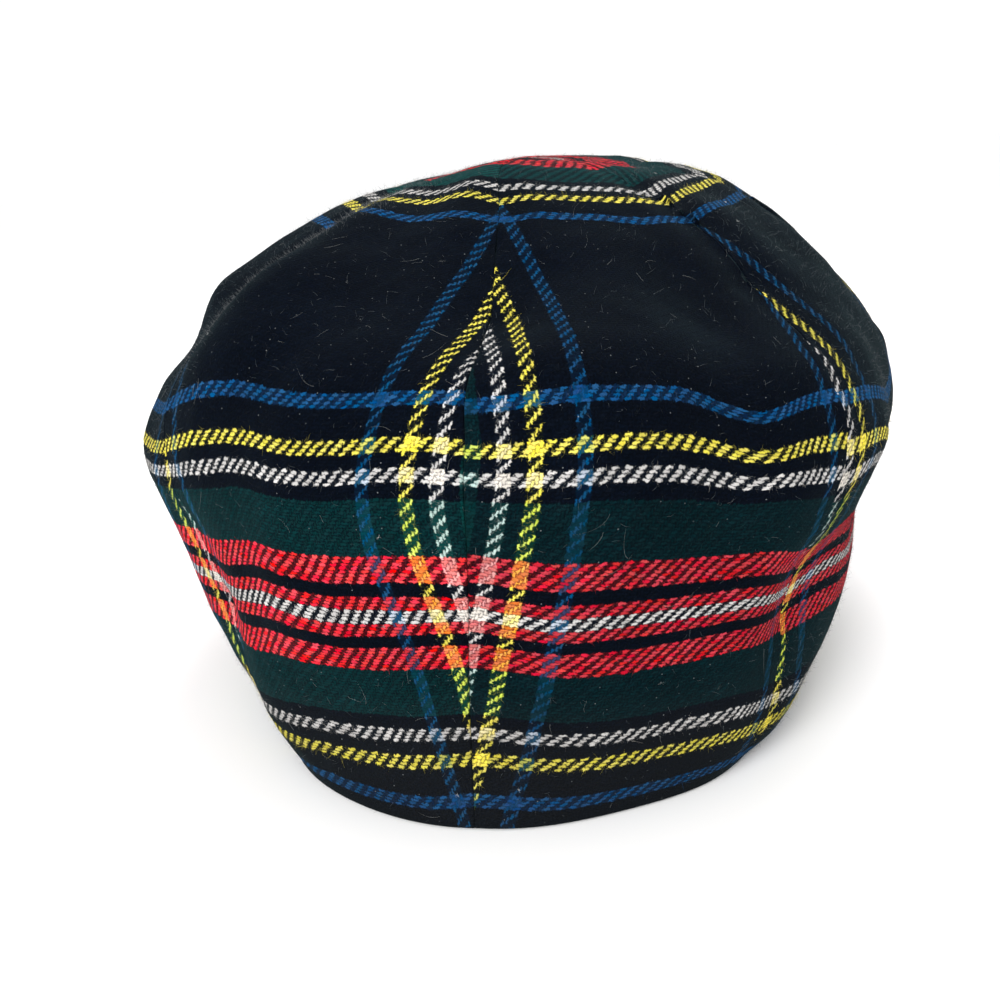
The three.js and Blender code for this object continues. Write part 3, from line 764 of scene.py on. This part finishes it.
def fuzz(g, name, count, seed, materials):
    rng = np.random.default_rng(seed)
    p, normal, across, along = scatter(g, count, rng)
    kinds = np.where(rng.random(count) < 0.5, sett_colour(across), sett_colour(along))
    length = rng.uniform(0.9, 2.6, count) * np.where(rng.random(count) < 0.08, 1.9, 1.0)
    stand = np.radians(rng.uniform(8, 62, count))
    return fibres_of(name, p, normal, kinds, length, stand, rng.uniform(0.1, 0.6, count), rng.uniform(0.035, 0.06, count), 2, rng, materials)


def pile(g, name, count, seed, materials):
    """Short straight fibres on the bright yarns, which are the fluffy ones."""
    rng = np.random.default_rng(seed)
    p, normal, across, along = scatter(g, count, rng)
    kinds = np.where(rng.random(count) < 0.4, sett_colour(across), sett_colour(along))
    keep = np.isin(kinds, [COLOURS.index(c) for c in ("yellow", "white")]) | (kinds == COLOURS.index("red")) & (rng.random(count) < 0.22)
    p, normal, kinds = p[keep], normal[keep], kinds[keep]
    count = len(p)
    length = rng.uniform(0.7, 1.9, count) * np.where(kinds == COLOURS.index("yellow"), rng.uniform(0.7, 1.25, count), 0.9)
    return fibres_of(name, p, normal, kinds, length, np.radians(rng.uniform(12, 58, count)),
                   np.zeros(count), rng.uniform(0.024, 0.04, count), 1, rng, materials)


def nap(gs, name, counts, seed, material):
    """Fine fibres that stand off the cloth and show along its outline; their grey colour is painted sheen."""
    rng = np.random.default_rng(seed)
    p, normal, _, _ = (np.concatenate(x) for x in zip(*(scatter(g, n, rng) for g, n in zip(gs, counts))))
    count = len(p)
    return fibres_of(name, p, normal, np.zeros(count, int), rng.uniform(1.2, 3.4, count), np.radians(rng.uniform(15, 75, count)),
                   rng.uniform(0.1, 0.7, count), rng.uniform(0.036, 0.054, count), 2, rng, [material])


def ridge(gs, seam, name, counts, seed, material):
    """Upright fuzz along the ridge beside a seam, where the cloth makes the outline; its grey colour is painted sheen.
    """
    rng = np.random.default_rng(seed)
    found = []
    for g, count, middle in zip(gs, counts, (9, 1)):
        p, normal, _, along = scatter(g, 8 * count, rng)
        gap = np.linalg.norm(p[:, None] - seam[None], axis=-1).min(1)
        keep = (np.abs(gap - middle) < rng.uniform(0, 12, len(p))) & (np.abs(along + BLACK_AT - 168) < rng.uniform(25, 58, len(p)))
        found.append((p[keep][:count], normal[keep][:count]))
    p, normal = (np.concatenate(x) for x in zip(*found))
    count = len(p)
    return fibres_of(name, p, normal, np.zeros(count, int), rng.uniform(0.8, 2.3, count), np.radians(rng.uniform(56, 88, count)),
                   rng.uniform(0.0, 0.25, count), rng.uniform(0.044, 0.066, count), 2, rng, [material])


def lint(gs, name, each, seed, material):
    """Tiny tufts of lint."""
    rng = np.random.default_rng(seed)
    p, normal, _, _ = (np.repeat(np.concatenate(x), 7, axis=0) for x in zip(*(scatter(g, each, rng) for g in gs)))
    count = len(p)
    return fibres_of(name, p + normal * 0.15, normal, np.zeros(count, int), rng.uniform(0.4, 1.1, count), np.radians(rng.uniform(0, 70, count)),
                   rng.uniform(0.2, 0.9, count), rng.uniform(0.06, 0.10, count), 2, rng, [material])


def stray(gs, name, counts, seed, material):
    rng = np.random.default_rng(seed)
    p, normal, _, _ = (np.concatenate(x) for x in zip(*(scatter(g, n, rng) for g, n in zip(gs, counts))))
    count = len(p)
    return fibres_of(name, p + normal * 0.25, normal, np.zeros(count, int), rng.uniform(2.5, 9.0, count), np.radians(rng.uniform(1, 22, count)),
                   rng.uniform(0.4, 1.3, count), rng.uniform(0.024, 0.042, count), 9, rng, [material])


# ------------------------------------------------------------------ put it together
wool_left = tartan("tartan_wool", YARN, LEFT_UPRIGHT, 0.08)
# painted shade: the right gores get the darker copy of the yarns
shaded_wool_right = tartan("tartan_wool_right", SHADED_RIGHT_YARN, RIGHT_UPRIGHT, 0.42)
peak_wool = tartan("peak_wool", YARN, LEFT_UPRIGHT, 0.08)
fibres = [fibre_material("fibre_" + c, YARN[c], 0.015 if c in ("black", "green") else 0.01) for c in COLOURS]
pale_fibre = fibre_material("fibre_stray", (0.38, 0.39, 0.38), 0.0)
# painted sheen: the nap fibres are grey, much paler than the dark yarns they stand off
nap_sheen_fibre = fibre_material("fibre_nap_sheen", (0.165, 0.185, 0.195), 0.0)
# painted sheen: the ridge fuzz is grey where the outline shows
ridge_sheen_fibre = fibre_material("fibre_ridge_sheen", (0.20, 0.21, 0.215), 0.0)
lint_fibre = fibre_material("fibre_lint", (0.62, 0.63, 0.62), 0.0)

sheets = [gore(k) for k in range(8)]
for k, g in enumerate(sheets):
    g["obj"].data.materials.append(shaded_wool_right if k < 4 else wool_left)
front = peak()
front["obj"].data.materials.append(peak_wool)

fuzzes = [fuzz(g, "fuzz_" + GORES[k], 2700, 40 + k, fibres) for k, g in enumerate(sheets)]
piles = [pile(g, "pile_" + GORES[k], 56000, 90 + k, fibres) for k, g in enumerate(sheets)]
peak_fuzz = fuzz(front, "fuzz_peak", 2200, 60, fibres)
loose = [
    stray(sheets, "stray_fibres", (40, 32, 26, 26, 26, 26, 50, 66), 77, pale_fibre),
    nap(sheets, "nap_fibres", (450, 2000, 2000, 800, 800, 1600, 2500, 450), 78, nap_sheen_fibre),
    ridge((sheets[7], sheets[6]), sheets[7]["outer"][:, 0], "ridge_fuzz", (3000, 500), 80, ridge_sheen_fibre),
    lint(sheets, "lint", 5, 79, lint_fibre),
]

for k, g in enumerate(sheets):
    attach(g["obj"], "root")
    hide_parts(GORES[k])
    for piece in (fuzzes[k], piles[k]):
        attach(piece, "root")
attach(front["obj"], "root")
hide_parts("peak")
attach(peak_fuzz, "root")
for piece in loose:
    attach(piece, "root")

# ------------------------------------------------------------------ floor, light and camera
def floor():
    n = Nodes("floor")
    where = n.add("ShaderNodeTexCoord").outputs["Object"]
    shader = n.add("ShaderNodeBsdfPrincipled")
    tone = n.noise(where, 3.0, 3).outputs["Fac"]
    n.put(shader.inputs["Base Color"], n.colour(tone, (0.945, 0.945, 0.945, 1), (0.96, 0.96, 0.957, 1)))
    shader.inputs["Roughness"].default_value = 0.8
    shader.inputs["Specular IOR Level"].default_value = 0.1
    n.put(n.output.inputs[0], shader.outputs[0])
    turn = np.linspace(0, 2 * math.pi, 97)[:-1]
    ring = np.stack([np.cos(turn), np.sin(turn), 0 * turn], -1) * 12000
    obj = new_mesh("floor", ring, [list(range(96))])
    obj.data.materials.append(n.material)


def area_light(name, place, aim, size, power, colour=(1, 1, 1)):
    data = bpy.data.lights.new(name, "AREA")
    data.shape = "DISK"
    data.size = size
    data.energy = power
    data.color = colour
    obj = bpy.data.objects.new(name, data)
    bpy.context.scene.collection.objects.link(obj)
    obj.location = place
    obj.rotation_euler = (Vector(aim) - Vector(place)).to_track_quat("-Z", "Y").to_euler()


floor()
world = bpy.data.worlds.new("studio")
bpy.context.scene.world = world
world.use_nodes = True
world.node_tree.nodes["Background"].inputs["Color"].default_value = (1, 1, 1, 1)
world.node_tree.nodes["Background"].inputs["Strength"].default_value = 1.06
area_light("key", (-0.5, -1.3, 0.95), (0, 0, 0.08), 1.0, 17)
area_light("top", (0.15, 1.0, 1.3), (0, 0, 0.14), 1.2, 16)

CAMERA = dict(distance=336.235, elevation=19.579, azimuth=11.489, focal=973.442, target=(-10.233, 0.0, 44.548), roll=-4.129)


def camera():
    el, az, roll = (CAMERA[k] * RAD for k in ("elevation", "azimuth", "roll"))
    ahead = -Vector((math.sin(az) * math.cos(el), -math.cos(az) * math.cos(el), math.sin(el)))
    target = Vector(CAMERA["target"]) - Vector((MIDDLE[0], MIDDLE[1], 0))
    place = target - ahead * CAMERA["distance"]
    right = ahead.cross(Vector((0, 0, 1))).normalized()
    up = right.cross(ahead)
    r = right * math.cos(roll) + up * math.sin(roll)
    u = up * math.cos(roll) - right * math.sin(roll)
    data = bpy.data.cameras.new("camera")
    data.sensor_width = 36.0
    data.sensor_fit = "HORIZONTAL"
    data.lens = CAMERA["focal"] * 36.0 / 1000
    data.clip_start = 0.01
    data.clip_end = 100
    obj = bpy.data.objects.new("camera", data)
    bpy.context.scene.collection.objects.link(obj)
    m = Matrix((r, u, -ahead)).transposed().to_4x4()
    m.translation = place * MM
    obj.matrix_world = m
    bpy.context.scene.camera = obj


camera()
bpy.context.scene.view_settings.view_transform = "Standard"
